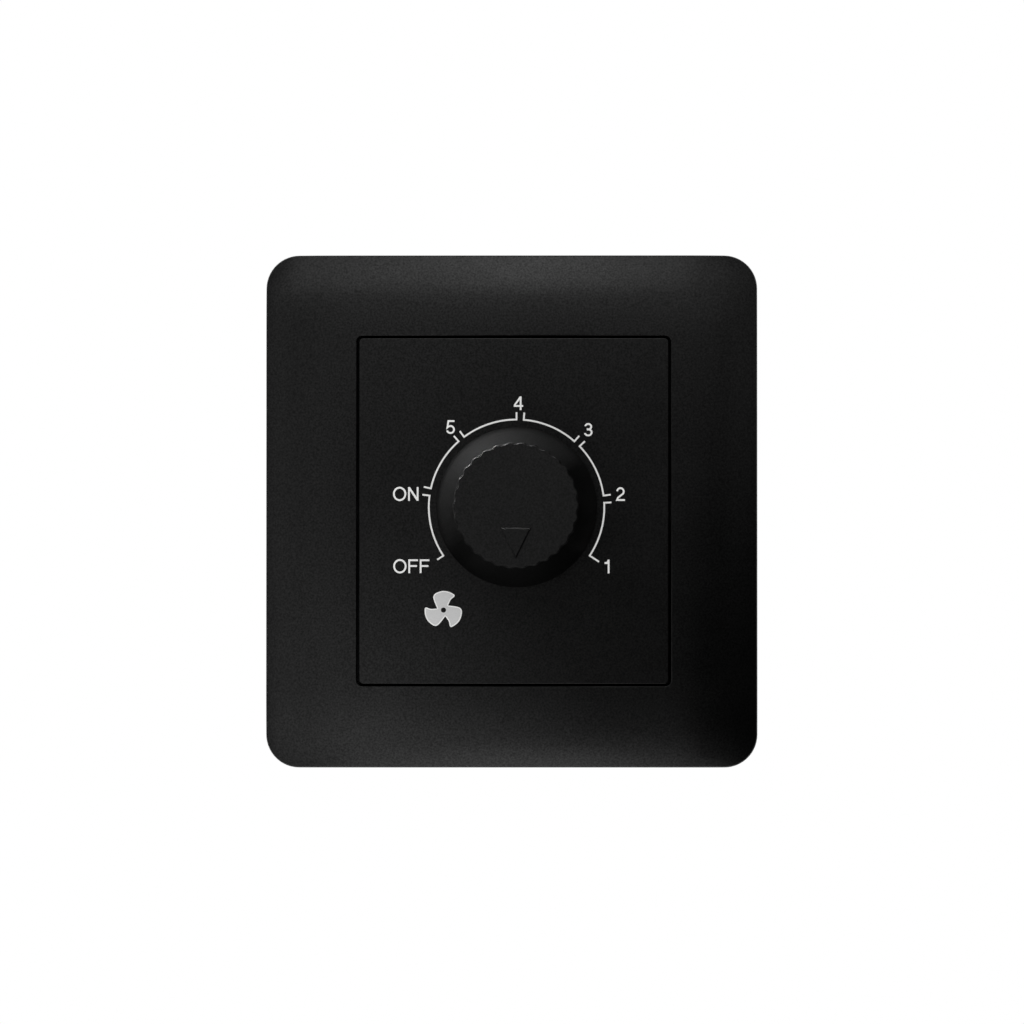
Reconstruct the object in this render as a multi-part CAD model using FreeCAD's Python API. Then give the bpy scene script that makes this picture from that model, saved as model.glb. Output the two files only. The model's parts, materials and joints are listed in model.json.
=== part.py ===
import FreeCAD, Part
import math
import os

# Fan speed control switch for a flush wall box: a crowned surround and a flat cover carry the dial,
# and a knob turns a switched potentiometer that is bolted to a folded metal support plate.
# Lengths are in millimetres. X runs right, Z up, and the room is on the -Y side of the wall plane Y = 0.
# A "level" is a distance in front of the wall plane, so what lies inside the wall box has a negative level.

# Surround and cover
PLATE_WIDTH = 86.0
PLATE_HEIGHT = 89.7
PLATE_CORNER = 5.75
PLATE_WALL = 2.0
FACE = 9.0
CROWN_ZONE = 15.0
CROWN_DROP = 3.1
CROWN_MARGIN = 2.0
RIM_ROUND = 0.5
COVER_WIDTH = 54.05
COVER_HEIGHT = 60.4
COVER_X = 0.4
COVER_THICKNESS = 2.0
COVER_CORNER = 0.7
COVER_SKIRT = 1.4
COVER_GAP = 0.45
EDGE_ROUND = 0.15
OPENING_SKIRT = 1.5
SKIRT_FOOT = 5.0
RIB_THICKNESS = 1.2
RIB_PITCH = 16.0
HOOK_WIDTH = 8.0
HOOK_THICKNESS = 1.4
HOOK_LIP = 0.9
HOOK_X = 20.0
HOOK_CLEARANCE = 0.3
LATCH_CLEARANCE = 0.1

# Support plate
SHEET = 1.5
BEND_RADIUS = 0.4
FLANGE_LIFT = 2.6
FLANGE_REACH = 4.5
FIXING_SPACING = 60.3
SLOT_LENGTH = 4.4
SLOT_WIDTH = 3.8
SLOT_MARGIN = 2.35
SUPPORT_CORNER = 2.0
HOLE_CLEARANCE = 0.2

# Rear housing
HOUSING_WIDTH = 47.0
HOUSING_HEIGHT = 46.0
HOUSING_DEPTH = 30.2
HOUSING_WALL = 1.6
HOUSING_CORNER = 3.0
HOUSING_EDGE = 1.2
EAR_THICKNESS = 2.5
EAR_RADIUS = 4.0
SCREW_X = 17.0
SCREW_SHANK = 2.9
SCREW_HEAD = 5.6
SCREW_HEAD_HEIGHT = 2.0
SCREW_BITE = 4.6
SCREW_RECESS = 0.9
SCREW_ROOM = 0.8
POST_DIAMETER = 6.4
VENT_COUNT = 6
VENT_PITCH = 4.0
VENT_WIDTH = 1.8
SIDE_VENT_LENGTH = 15.0
REAR_VENT_LENGTH = 12.0
BOARD_POST = 4.0

# Potentiometer with switch
KNOB_X = 0.87
KNOB_Z = 0.64
POT_DIAMETER = 17.0
POT_SHELL = 0.5
BUSH_FLANGE = 1.5
BUSH_DIAMETER = 7.0
BUSH_LENGTH = 5.6
BUSH_CHAMFER = 0.3
KEY_DIAMETER = 2.4
KEY_RADIUS = 7.0
WASHER_DIAMETER = 12.0
WASHER_THICKNESS = 0.6
NUT_FLATS = 10.0
NUT_THICKNESS = 2.2
THREAD_CLEARANCE = 0.05
SHAFT_DIAMETER = 6.0
SHAFT_CLEARANCE = 0.03
SHAFT_TAIL = 4.0
SHAFT_FLAT = 1.5
CLIP_THICKNESS = 0.6
CLIP_DIAMETER = 9.0
CLIP_GROOVE = 5.0
CLIP_MOUTH = 4.0
CLIP_FLOAT = 0.1
ROTOR_DIAMETER = 13.0
ROTOR_THICKNESS = 1.8
ROTOR_GAP = 0.3
DRIVER_DIAMETER = 6.0
DRIVER_REACH = 1.0
RUNNING_GAP = 0.3
STOP_WIDTH = 26.0
STOP_SLACK = 1.0
WIPER_THICKNESS = 0.3
WIPER_WIDTH = 2.4
SHELL_DEPTH = 6.2
WAFER_THICKNESS = 1.0
WAFER_TONGUE = 12.0
WAFER_DROP = 3.4
POT_PIN_PITCH = 4.0
SWITCH_DEPTH = 7.5
TRAVEL = 304.0

# Knob
KNOB_GAP = 0.6
KNOB_HEIGHT = 14.4
KNOB_DIAMETER = 28.0
KNOB_WALL = 1.6
KNOB_ROOF = 2.2
HEAD_DIAMETER = 21.6
HEAD_HEIGHT = 5.6
SKIRT_BLEND = 1.9
FLUTES = 30
FLUTE_DEPTH = 0.26
HEAD_BEVEL = 0.22
POINTER_WIDTH = 5.45
POINTER_LENGTH = 5.45
POINTER_TIP = 9.3
POINTER_HEIGHT = 0.35
POINTER_BEVEL = 0.25
HUB_DIAMETER = 10.0
HUB_INSET = 1.0
HUB_RIBS = 6
HUB_RIB = 1.0
SPRING_WIRE = 0.9
SPRING_WIDTH = 1.6
SPRING_GAP = 50.0

# Circuit board and what stands on it
BOARD = 1.6
BOARD_CLEARANCE = 0.3
LEAD = 0.8
LEAD_BEND = 0.8
LEAD_CLEARANCE = 0.1
LEAD_STICK_OUT = 1.2
PART_CLEARANCE = 0.6
CHOKE_DIAMETER = 13.6
CHOKE_BORE = 4.6
CHOKE_HEIGHT = 7.2
CHOKE_WIRE = 0.9
CHOKE_ARC = 300.0
CHOKE_BARE_ANGLE = 300.0
FILTER_WIDTH = 17.0
FILTER_DEPTH = 8.0
FILTER_HEIGHT = 10.5
TIMING_WIDTH = 7.2
TIMING_DEPTH = 2.8
TIMING_HEIGHT = 6.5
CAP_ROUND = 0.5
FUSE_DIAMETER = 7.4
FUSE_HEIGHT = 7.7
RESISTOR_DIAMETER = 2.4
RESISTOR_LENGTH = 6.3
DIAC_DIAMETER = 2.0
DIAC_LENGTH = 4.2
AXIAL_PITCH = 10.2
ROW_PITCH = 3.0
TRIAC_WIDTH = 10.2
TRIAC_BODY = 8.8
TRIAC_TAB = 6.4
TRIAC_TAB_THICKNESS = 1.3
TRIAC_THICKNESS = 4.4
TRIAC_PITCH = 2.54
TRIAC_LEAD_RUN = 2.2
TRIAC_HOLE = 3.6
TRIAC_SCREW = 3.0
TRIAC_SCREW_HEAD = 5.5
TRIAC_SCREW_HEAD_HEIGHT = 2.0
PAD_THICKNESS = 0.3
PAD_MARGIN = 0.8

# Wire terminals
TERMINAL_WIDTH = 23.4
TERMINAL_HEIGHT = 10.5
TERMINAL_PITCH = 10.0
TERMINAL_GAP = 0.3
CAGE_SIZE = 6.0
CAGE_LENGTH = 7.0
CAGE_WALL = 1.0
CAGE_NUT_WALL = 1.6
CAGE_CLEARANCE = 0.1
CAGE_INSET = 0.4
CAGE_LEVEL = 5.2
CLAMP_SCREW = 3.0
CLAMP_HEAD = 4.4
CLAMP_HEAD_HEIGHT = 1.6
CLAMP_SCREW_LENGTH = 4.0
CLAMP_CHAMFER = 0.2
CLAMP_WELL = 4.9
SCREW_SLOT = 0.8

# Levels and places that follow from the sizes above
SUPPORT_WIDTH = FIXING_SPACING + SLOT_LENGTH + 2 * SLOT_MARGIN
FLANGE_Z = COVER_HEIGHT / 2
FLANGE_END = FLANGE_Z + FLANGE_REACH
SCREW_Z = HOUSING_HEIGHT / 2 + SCREW_HEAD / 2 + SCREW_ROOM
POT_RADIUS = POT_DIAMETER / 2
SHELL_BACK = -BUSH_FLANGE - SHELL_DEPTH
WAFER_FRONT = SHELL_BACK + WAFER_THICKNESS
ROTOR_FRONT = -BUSH_FLANGE - ROTOR_GAP
ROTOR_BACK = ROTOR_FRONT - ROTOR_THICKNESS
BOARD_FRONT = SHELL_BACK - SWITCH_DEPTH
BOARD_BACK = BOARD_FRONT - BOARD
LEAD_END = BOARD_BACK - LEAD_STICK_OUT
HOUSING_BACK = -HOUSING_DEPTH
ROOM_X = HOUSING_WIDTH / 2 - HOUSING_WALL
ROOM_Z = HOUSING_HEIGHT / 2 - HOUSING_WALL
KNOB_BASE = FACE + KNOB_GAP
KNOB_TOP = KNOB_BASE + KNOB_HEIGHT
BORE_END = KNOB_TOP - KNOB_ROOF
SHAFT_TIP = BORE_END - RUNNING_GAP
HUB_FOOT = KNOB_BASE + HUB_INSET
CLIP_LEVEL = BUSH_LENGTH + CLIP_FLOAT
TRIAC_X = ROOM_X - PART_CLEARANCE - PAD_MARGIN - TRIAC_WIDTH / 2
TRIAC_Z = KNOB_Z
TRIAC_BACK = -PAD_THICKNESS - TRIAC_THICKNESS
TRIAC_LEAD_Z = TRIAC_Z - TRIAC_TAB / 2 - TRIAC_BODY - TRIAC_LEAD_RUN
TERMINAL_BOTTOM = -HOUSING_HEIGHT / 2
CAGE_FRONT = BOARD_BACK - CAGE_LEVEL + CAGE_SIZE / 2
CAGE_BACK = CAGE_FRONT - CAGE_SIZE
CAGE_Z = TERMINAL_BOTTOM + CAGE_INSET + CAGE_LENGTH / 2

TOWARDS_ROOM = FreeCAD.Vector(0, -1, 0)
NEAR = 0.001


def point(x, z, level):
    return FreeCAD.Vector(x, -level, z)


def block(width, height, low, high, x=0.0, z=0.0, corner=0.0):
    """A slab between two levels, with its four corners rounded in the plane of the wall."""
    solid = Part.makeBox(width, high - low, height, point(x - width / 2, z - height / 2, high))
    if corner > 0:
        upright = [e for e in solid.Edges if abs(e.tangentAt(e.FirstParameter).y) > 0.9]
        solid = solid.makeFillet(corner, upright)
    return solid


def disc(diameter, low, high, x=0.0, z=0.0):
    return Part.makeCylinder(diameter / 2, high - low, point(x, z, low), TOWARDS_ROOM)


def ring(outer, inner, low, high, x=0.0, z=0.0):
    return disc(outer, low, high, x, z).cut(disc(inner, low, high, x, z))


def cone(low_diameter, high_diameter, low, high, x=0.0, z=0.0):
    return Part.makeCone(low_diameter / 2, high_diameter / 2, high - low, point(x, z, low), TOWARDS_ROOM)


def slot(width, height, low, high, x=0.0, z=0.0):
    """A slab with fully round ends, along X or along Z, whichever is longer."""
    across = min(width, height)
    dx = (width - across) / 2
    dz = (height - across) / 2
    ends = [disc(across, low, high, x + sign * dx, z + sign * dz) for sign in (-1, 1)]
    return fused(block(max(2 * dx, across), max(2 * dz, across), low, high, x, z), *ends)


def prism(outline, low, high):
    """A straight solid between two levels over a closed outline of (x, z) points."""
    points = [point(x, z, low) for x, z in outline]
    face = Part.Face(Part.makePolygon(points + points[:1]))
    return face.extrude(TOWARDS_ROOM * (high - low))


def polar(radius, degrees, x=0.0, z=0.0):
    """A place on a circle; the angle runs anticlockwise from +X as seen from the room."""
    angle = math.radians(degrees)
    return x + radius * math.cos(angle), z + radius * math.sin(angle)


def sector(outer, inner, middle, width, low, high, x=0.0, z=0.0):
    """A piece of a ring, width degrees wide (under 180) about the middle angle; outer and inner are radii."""
    reach = outer / math.cos(math.radians(width / 2))
    wedge = [(x, z), polar(reach, middle - width / 2, x, z), polar(reach, middle + width / 2, x, z)]
    return ring(2 * outer, 2 * inner, low, high, x, z).common(prism(wedge, low, high))


def fused(first, *others):
    return first.multiFuse(list(others)).removeSplitter()


def four(x, z):
    return [(sx * x, sz * z) for sx in (-1, 1) for sz in (-1, 1)]


def edges_at_level(solid, level):
    """Edges that lie flat at one level."""
    return [e for e in solid.Edges if all(abs(v.Y + level) < NEAR for v in e.Vertexes)]


def crowned_block(width, height, corner, top):
    """A rounded block whose front is flat in the middle and falls away as a cubic near every edge."""
    reach = CROWN_ZONE + CROWN_MARGIN
    fall = CROWN_DROP * (reach / CROWN_ZONE) ** 3
    half_x = PLATE_WIDTH / 2 + CROWN_MARGIN
    half_z = PLATE_HEIGHT / 2 + CROWN_MARGIN
    drop = [fall, 0, 0, 0, 0, fall]
    across = list(zip(crown_poles(half_x, reach), drop))
    upward = list(zip(crown_poles(half_z, reach), drop))
    poles = [[point(x, z, top - dx - dz) for z, dz in upward] for x, dx in across]
    knots_x = [-half_x, reach - half_x, half_x - reach, half_x]
    knots_z = [-half_z, reach - half_z, half_z - reach, half_z]
    crown = Part.BSplineSurface()
    crown.buildFromPolesMultsKnots(poles, [4, 1, 1, 4], [4, 1, 1, 4], knots_x, knots_z, False, False, 3, 3)
    above = crown.toShape().extrude(TOWARDS_ROOM * (top + 2 * fall))
    return block(width, height, 0, top + CROWN_MARGIN, corner=corner).cut(above)


def crown_poles(half, reach):
    """Pole places at which the parameters of the crown's surface are lengths along the plate."""
    outer = [half / 3, half - reach / 3, half]
    return [-place for place in reversed(outer)] + outer


def opening(low, high, grow):
    return block(COVER_WIDTH + 2 * grow, COVER_HEIGHT + 2 * grow, low, high, COVER_X, 0, COVER_CORNER + grow)


def surround_frame():
    outside = crowned_block(PLATE_WIDTH, PLATE_HEIGHT, PLATE_CORNER, FACE)
    rim = [e for e in outside.Edges if e.BoundBox.YMax < -NEAR]
    mouth = opening(-CROWN_MARGIN, FACE + CROWN_MARGIN, COVER_GAP)
    shell = outside.makeFillet(RIM_ROUND, rim).cut(mouth)
    lip = [e for e in edges_at_level(shell, FACE) if abs(e.CenterOfMass.x - COVER_X) < COVER_WIDTH]
    shell = shell.makeFillet(EDGE_ROUND, lip).cut(crowned_inset(PLATE_WALL))
    skirt = opening(SKIRT_FOOT, FACE, COVER_GAP + OPENING_SKIRT)
    ribs = [block(RIB_THICKNESS, PLATE_HEIGHT, SKIRT_FOOT, FACE, (i - 1.5) * RIB_PITCH) for i in range(4)]
    ribs += [block(PLATE_WIDTH, RIB_THICKNESS, SKIRT_FOOT, FACE, 0, (i - 1) * RIB_PITCH) for i in range(3)]
    grid = fused(skirt, *ribs).common(crowned_inset(PLATE_WALL / 2)).cut(mouth)
    hooks = [surround_hook(x, sign) for x in (-HOOK_X, HOOK_X) for sign in (-1, 1)]
    return fused(shell, grid, *hooks)


def crowned_inset(depth):
    """The surround's outside drawn in by a depth on every face."""
    width = PLATE_WIDTH - 2 * depth
    height = PLATE_HEIGHT - 2 * depth
    return crowned_block(width, height, PLATE_CORNER - depth, FACE - depth)


def edge_is_upright(edge):
    return abs(edge.tangentAt(edge.FirstParameter).y) > 0.9


def surround_hook(x, sign):
    """A tab beside the support plate's flange, with a lip that reaches behind it."""
    near = FLANGE_END + HOOK_CLEARANCE
    lip_top = FLANGE_LIFT - LATCH_CLEARANCE
    foot = lip_top - HOOK_THICKNESS
    root = FACE - PLATE_WALL / 2
    tab = block(HOOK_WIDTH, HOOK_THICKNESS, foot, root, x, sign * (near + HOOK_THICKNESS / 2))
    lip_depth = HOOK_LIP + HOOK_CLEARANCE
    lip = block(HOOK_WIDTH, lip_depth, foot, lip_top, x, sign * (near - lip_depth / 2))
    return tab.fuse(lip)


def front_cover():
    underside = FACE - COVER_THICKNESS
    panel = opening(underside, FACE, 0)
    skirt = opening(SKIRT_FOOT, FACE, 0).cut(opening(SKIRT_FOOT, underside, -COVER_SKIRT))
    posts = [disc(POST_DIAMETER, SHEET, underside, x, z) for x, z in four(SCREW_X, SCREW_Z)]
    posts = [p.common(opening(SHEET, FACE, -BEND_RADIUS)) for p in posts]
    cover = fused(panel, skirt, *posts)
    for x, z in four(SCREW_X, SCREW_Z):
        cover = cover.cut(disc(SCREW_SHANK + 2 * THREAD_CLEARANCE, SHEET, SHEET + SCREW_BITE, x, z))
    cover = cover.cut(disc(CLIP_DIAMETER + 2 * RUNNING_GAP, underside, FACE, KNOB_X, KNOB_Z))
    return cover.makeFillet(EDGE_ROUND, edges_at_level(cover, FACE))


def support_plate():
    """One folded sheet: a flat panel against the wall, with its top and bottom edges joggled forward."""
    sheet = block(SUPPORT_WIDTH, 2 * FLANGE_Z + 2 * SHEET, 0, SHEET)
    for sign in (-1, 1):
        riser = block(SUPPORT_WIDTH, SHEET, 0, FLANGE_LIFT + SHEET, 0, sign * (FLANGE_Z + SHEET / 2))
        flange = block(SUPPORT_WIDTH, FLANGE_REACH, FLANGE_LIFT, FLANGE_LIFT + SHEET, 0,
                       sign * (FLANGE_Z + FLANGE_REACH / 2))
        sheet = fused(sheet, riser, flange)
    inside = [(FLANGE_Z, SHEET), (FLANGE_Z + SHEET, FLANGE_LIFT)]
    outside = [(FLANGE_Z + SHEET, 0), (FLANGE_Z, FLANGE_LIFT + SHEET)]
    sheet = sheet.makeFillet(BEND_RADIUS, bend_edges(sheet, inside))
    sheet = sheet.makeFillet(BEND_RADIUS + SHEET, bend_edges(sheet, outside))
    corners = [e for e in sheet.Edges if edge_is_upright(e) and abs(e.CenterOfMass.z) > FLANGE_END - NEAR]
    sheet = sheet.makeFillet(SUPPORT_CORNER, corners)
    cuts = [disc(BUSH_DIAMETER + 2 * HOLE_CLEARANCE, 0, SHEET, KNOB_X, KNOB_Z)]
    cuts.append(disc(KEY_DIAMETER + 2 * HOLE_CLEARANCE, 0, SHEET, *key_place()))
    cuts.append(disc(TRIAC_SCREW + 2 * THREAD_CLEARANCE, 0, SHEET, TRIAC_X, TRIAC_Z))
    cuts += [disc(SCREW_SHANK + 2 * HOLE_CLEARANCE, 0, SHEET, x, z) for x, z in four(SCREW_X, SCREW_Z)]
    cuts += [slot(SLOT_LENGTH, SLOT_WIDTH, 0, SHEET, sign * FIXING_SPACING / 2) for sign in (-1, 1)]
    return sheet.cut(cuts)


def bend_edges(sheet, places):
    """Edges along X at the given (z, level) places, above and below the middle."""
    return [e for e in sheet.Edges for z, level in places
            if abs(abs(e.CenterOfMass.z) - z) < NEAR and abs(e.CenterOfMass.y + level) < NEAR
            and abs(e.tangentAt(e.FirstParameter).x) > 0.9]


def key_place():
    return polar(KEY_RADIUS, 180, KNOB_X, KNOB_Z)


def rear_housing():
    shell = block(HOUSING_WIDTH, HOUSING_HEIGHT, HOUSING_BACK, 0, corner=HOUSING_CORNER)
    shell = shell.makeFillet(HOUSING_EDGE, edges_at_level(shell, HOUSING_BACK))
    floor = HOUSING_BACK + HOUSING_WALL
    shell = shell.cut(block(2 * ROOM_X, 2 * ROOM_Z, floor, 0, corner=HOUSING_CORNER - HOUSING_WALL))
    ears = [housing_ear(x, z) for x, z in four(SCREW_X, SCREW_Z)]
    inset = BOARD_POST / 2
    posts = [disc(BOARD_POST, floor, BOARD_BACK, x, z) for x, z in four(ROOM_X - inset, ROOM_Z - inset)]
    shell = fused(shell, *ears, *posts)
    return shell.cut(housing_vents() + [terminal_notch()])


def housing_ear(x, z):
    """A rounded lug at the mouth of the housing, with a hole for its screw."""
    level = -EAR_THICKNESS
    root = HOUSING_HEIGHT / 2 - HOUSING_WALL / 2
    middle = math.copysign((abs(z) + root) / 2, z)
    lug = block(2 * EAR_RADIUS, abs(z) - root, level, 0, x, middle).fuse(disc(2 * EAR_RADIUS, level, 0, x, z))
    return lug.cut(disc(SCREW_SHANK + 2 * HOLE_CLEARANCE, level, 0, x, z))


def housing_vents():
    """Slots through both side walls and the upper half of the rear wall."""
    cuts = []
    middle = (VENT_COUNT - 1) / 2
    side_level = HOUSING_BACK / 2
    for i in range(VENT_COUNT):
        offset = (i - middle) * VENT_PITCH
        low = side_level - SIDE_VENT_LENGTH / 2
        cuts.append(block(HOUSING_WIDTH, VENT_WIDTH, low, low + SIDE_VENT_LENGTH, 0, offset + VENT_PITCH))
        cuts.append(slot(VENT_WIDTH, REAR_VENT_LENGTH, HOUSING_BACK, HOUSING_BACK + HOUSING_WALL,
                         offset, HOUSING_HEIGHT / 4))
    return cuts


def terminal_notch():
    width = TERMINAL_WIDTH + 2 * TERMINAL_GAP
    height = TERMINAL_HEIGHT + TERMINAL_GAP
    return block(width, height, HOUSING_BACK, BOARD_BACK + TERMINAL_GAP, 0, TERMINAL_BOTTOM + height / 2)


def housing_screws():
    """Self-tapping screws that clamp housing, support plate and cover together from behind."""
    return Part.makeCompound([cross_screw(x, z) for x, z in four(SCREW_X, SCREW_Z)])


def cross_screw(x, z):
    seat = -EAR_THICKNESS
    back = seat - SCREW_HEAD_HEIGHT
    head = disc(SCREW_HEAD, back, seat, x, z)
    head = head.makeChamfer(SCREW_HEAD_HEIGHT / 3, edges_at_level(head, back))
    for width, height in ((SCREW_SLOT, SCREW_HEAD / 2), (SCREW_HEAD / 2, SCREW_SLOT)):
        head = head.cut(block(width, height, back, back + SCREW_RECESS, x, z))
    end = SHEET + SCREW_BITE - THREAD_CLEARANCE
    tip = cone(SCREW_SHANK, SCREW_SHANK / 2, end - SCREW_SHANK / 2, end, x, z)
    return fused(head, disc(SCREW_SHANK, seat, end - SCREW_SHANK / 2, x, z), tip)


def pot_bushing():
    """Die-cast front of the potentiometer: a flange behind the plate and a neck through it."""
    x, z = KNOB_X, KNOB_Z
    flange = disc(POT_DIAMETER, -BUSH_FLANGE, 0, x, z)
    neck = disc(BUSH_DIAMETER, 0, BUSH_LENGTH, x, z)
    neck = neck.makeChamfer(BUSH_CHAMFER, edges_at_level(neck, BUSH_LENGTH))
    key = disc(KEY_DIAMETER, 0, SHEET - HOLE_CLEARANCE, *key_place())
    bore = disc(SHAFT_DIAMETER + 2 * SHAFT_CLEARANCE, -BUSH_FLANGE, BUSH_LENGTH, x, z)
    return fused(flange, neck, key).cut(bore)


def pot_washer():
    bore = BUSH_DIAMETER + 2 * HOLE_CLEARANCE
    return ring(WASHER_DIAMETER, bore, SHEET, SHEET + WASHER_THICKNESS, KNOB_X, KNOB_Z)


def pot_nut():
    low = SHEET + WASHER_THICKNESS
    high = low + NUT_THICKNESS
    corner = NUT_FLATS / math.sqrt(3)
    body = prism([polar(corner, 60 * i, KNOB_X, KNOB_Z) for i in range(6)], low, high)
    turned = cone(2 * corner + 2 * NUT_THICKNESS, NUT_FLATS, low, high, KNOB_X, KNOB_Z)
    return body.common(turned).cut(disc(BUSH_DIAMETER + 2 * THREAD_CLEARANCE, low, high, KNOB_X, KNOB_Z))


def control_shaft():
    """Round shaft with a flat for the knob, a groove for its clip and a thinner tail in the rotor."""
    x, z = KNOB_X, KNOB_Z
    shaft = disc(SHAFT_DIAMETER, ROTOR_FRONT, SHAFT_TIP, x, z)
    shaft = shaft.makeChamfer(CLIP_THICKNESS, edges_at_level(shaft, SHAFT_TIP))
    groove = ring(2 * SHAFT_DIAMETER, CLIP_GROOVE, CLIP_LEVEL, CLIP_LEVEL + CLIP_THICKNESS, x, z)
    flat_start = HUB_FOOT - RUNNING_GAP
    flat_z = z + SHAFT_FLAT + SHAFT_DIAMETER / 2
    flat = block(SHAFT_DIAMETER, SHAFT_DIAMETER, flat_start, SHAFT_TIP, x, flat_z)
    tail = disc(SHAFT_TAIL, ROTOR_BACK, ROTOR_FRONT, x, z)
    return fused(shaft.cut([groove, flat]), tail)


def shaft_clip():
    """Open ring sprung into the shaft's groove in front of the neck."""
    washer = ring(CLIP_DIAMETER, CLIP_GROOVE, CLIP_LEVEL, CLIP_LEVEL + CLIP_THICKNESS, KNOB_X, KNOB_Z)
    return washer.cut(block(CLIP_MOUTH, CLIP_DIAMETER, CLIP_LEVEL, CLIP_LEVEL + CLIP_THICKNESS,
                            KNOB_X, KNOB_Z - CLIP_DIAMETER / 2))


def pot_shell():
    """Steel can around the track, with an inward stop and a slot for the wafer's tongue."""
    x, z = KNOB_X, KNOB_Z
    inner = POT_DIAMETER - 2 * POT_SHELL
    can = ring(POT_DIAMETER, inner, SHELL_BACK, -BUSH_FLANGE, x, z)
    stop = sector(POT_RADIUS - POT_SHELL / 2, ROTOR_DIAMETER / 2 + RUNNING_GAP, stop_angle(),
                  360 - TRAVEL - STOP_WIDTH - 2 * STOP_SLACK, ROTOR_BACK, -BUSH_FLANGE, x, z)
    return fused(can, stop).cut(wafer_tongue(RUNNING_GAP))


def stop_angle():
    """Middle of the can's stop, which the rotor's lug meets at both ends of the travel."""
    return 270 + (360 - TRAVEL - STOP_WIDTH) / 2


def pot_wafer():
    """Track board that closes the can, with a tongue below for the three pins."""
    inner = POT_DIAMETER - 2 * POT_SHELL - 2 * THREAD_CLEARANCE
    board = fused(disc(inner, SHELL_BACK, WAFER_FRONT, KNOB_X, KNOB_Z), wafer_tongue(0))
    holes = [disc(LEAD + 2 * THREAD_CLEARANCE, SHELL_BACK, WAFER_FRONT, x, z) for x, z in pot_pin_places()]
    driver = disc(DRIVER_DIAMETER + 2 * RUNNING_GAP, SHELL_BACK, WAFER_FRONT, KNOB_X, KNOB_Z)
    return board.cut(holes + [driver])


def wafer_tongue(grow):
    length = POT_RADIUS + WAFER_DROP
    return block(WAFER_TONGUE + 2 * grow, length, SHELL_BACK, WAFER_FRONT + grow, KNOB_X, KNOB_Z - length / 2)


def pot_pin_places():
    z = KNOB_Z - POT_RADIUS - WAFER_DROP / 2
    return [(KNOB_X + i * POT_PIN_PITCH, z) for i in (-1, 0, 1)]


def pot_pins():
    head = WAFER_FRONT + LEAD / 2
    pins = []
    for x, z in pot_pin_places():
        rivet = disc(2 * LEAD, WAFER_FRONT, head, x, z)
        pins.append(rivet.fuse(disc(LEAD, LEAD_END, WAFER_FRONT, x, z)))
    return Part.makeCompound(pins)


def pot_rotor():
    """Plastic disc on the shaft's tail, with a stop lug and a driver that reaches into the switch."""
    x, z = KNOB_X, KNOB_Z
    plate = disc(ROTOR_DIAMETER, ROTOR_BACK, ROTOR_FRONT, x, z)
    reach = POT_RADIUS - POT_SHELL - RUNNING_GAP
    lug = sector(reach, ROTOR_DIAMETER / 4, 270 - STOP_WIDTH / 2, STOP_WIDTH, ROTOR_BACK, ROTOR_FRONT, x, z)
    driver = disc(DRIVER_DIAMETER, SHELL_BACK - DRIVER_REACH, ROTOR_BACK, x, z)
    return fused(plate, lug, driver).cut(disc(SHAFT_TAIL, ROTOR_BACK, ROTOR_FRONT, x, z))


def pot_wiper():
    """Spring ring on the rotor, with a finger bent back until it nearly meets the track."""
    x, z = KNOB_X, KNOB_Z
    back = ROTOR_BACK - WIPER_THICKNESS
    collar = ring(ROTOR_DIAMETER - 2 * RUNNING_GAP, DRIVER_DIAMETER, back, ROTOR_BACK, x, z)
    rise = ROTOR_BACK - WAFER_FRONT - RUNNING_GAP
    reach = ROTOR_DIAMETER / 2 - RUNNING_GAP
    start = -reach / 2
    profile = [(start, 0), (-start, -rise), (-start, WIPER_THICKNESS - rise), (start, WIPER_THICKNESS)]
    points = [point(x + dx, z + reach - WIPER_WIDTH, ROTOR_BACK + dy) for dx, dy in profile]
    finger = Part.Face(Part.makePolygon(points + points[:1])).extrude(FreeCAD.Vector(0, 0, WIPER_WIDTH))
    return fused(collar, finger.cut(disc(POT_DIAMETER, ROTOR_BACK, ROTOR_FRONT, x, z)))


def switch_case():
    """Moulded mains switch on the back of the potentiometer, worked by the rotor's driver."""
    x, z = KNOB_X, KNOB_Z
    case = disc(POT_DIAMETER, BOARD_FRONT, SHELL_BACK, x, z)
    well = disc(DRIVER_DIAMETER + 2 * RUNNING_GAP, SHELL_BACK - DRIVER_REACH - RUNNING_GAP, SHELL_BACK, x, z)
    drill = LEAD + 2 * THREAD_CLEARANCE
    holes = [disc(drill, BOARD_FRONT, BOARD_FRONT + LEAD, px, pz) for px, pz in switch_pin_places()]
    return case.cut(holes + [well])


def switch_pin_places():
    return [(KNOB_X + sign * POT_RADIUS / 2, KNOB_Z) for sign in (-1, 1)]


def switch_pins():
    return Part.makeCompound([disc(LEAD, LEAD_END, BOARD_FRONT + LEAD, x, z) for x, z in switch_pin_places()])


def fluted_outline(mean_diameter, level):
    """Closed wave around the knob's axis, of one crest arc and one hollow arc for each flute."""
    step = 90 / FLUTES
    radius = mean_diameter / 2
    arcs = []
    for i in range(2 * FLUTES):
        peak = radius + (-1) ** i * FLUTE_DEPTH / 2
        places = [(radius, 2 * i - 1), (peak, 2 * i), (radius, 2 * i + 1)]
        ends = [point(*polar(r, turn * step, KNOB_X, KNOB_Z), level) for r, turn in places]
        arcs.append(Part.Arc(*ends).toShape())
    return Part.Wire(arcs)


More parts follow.
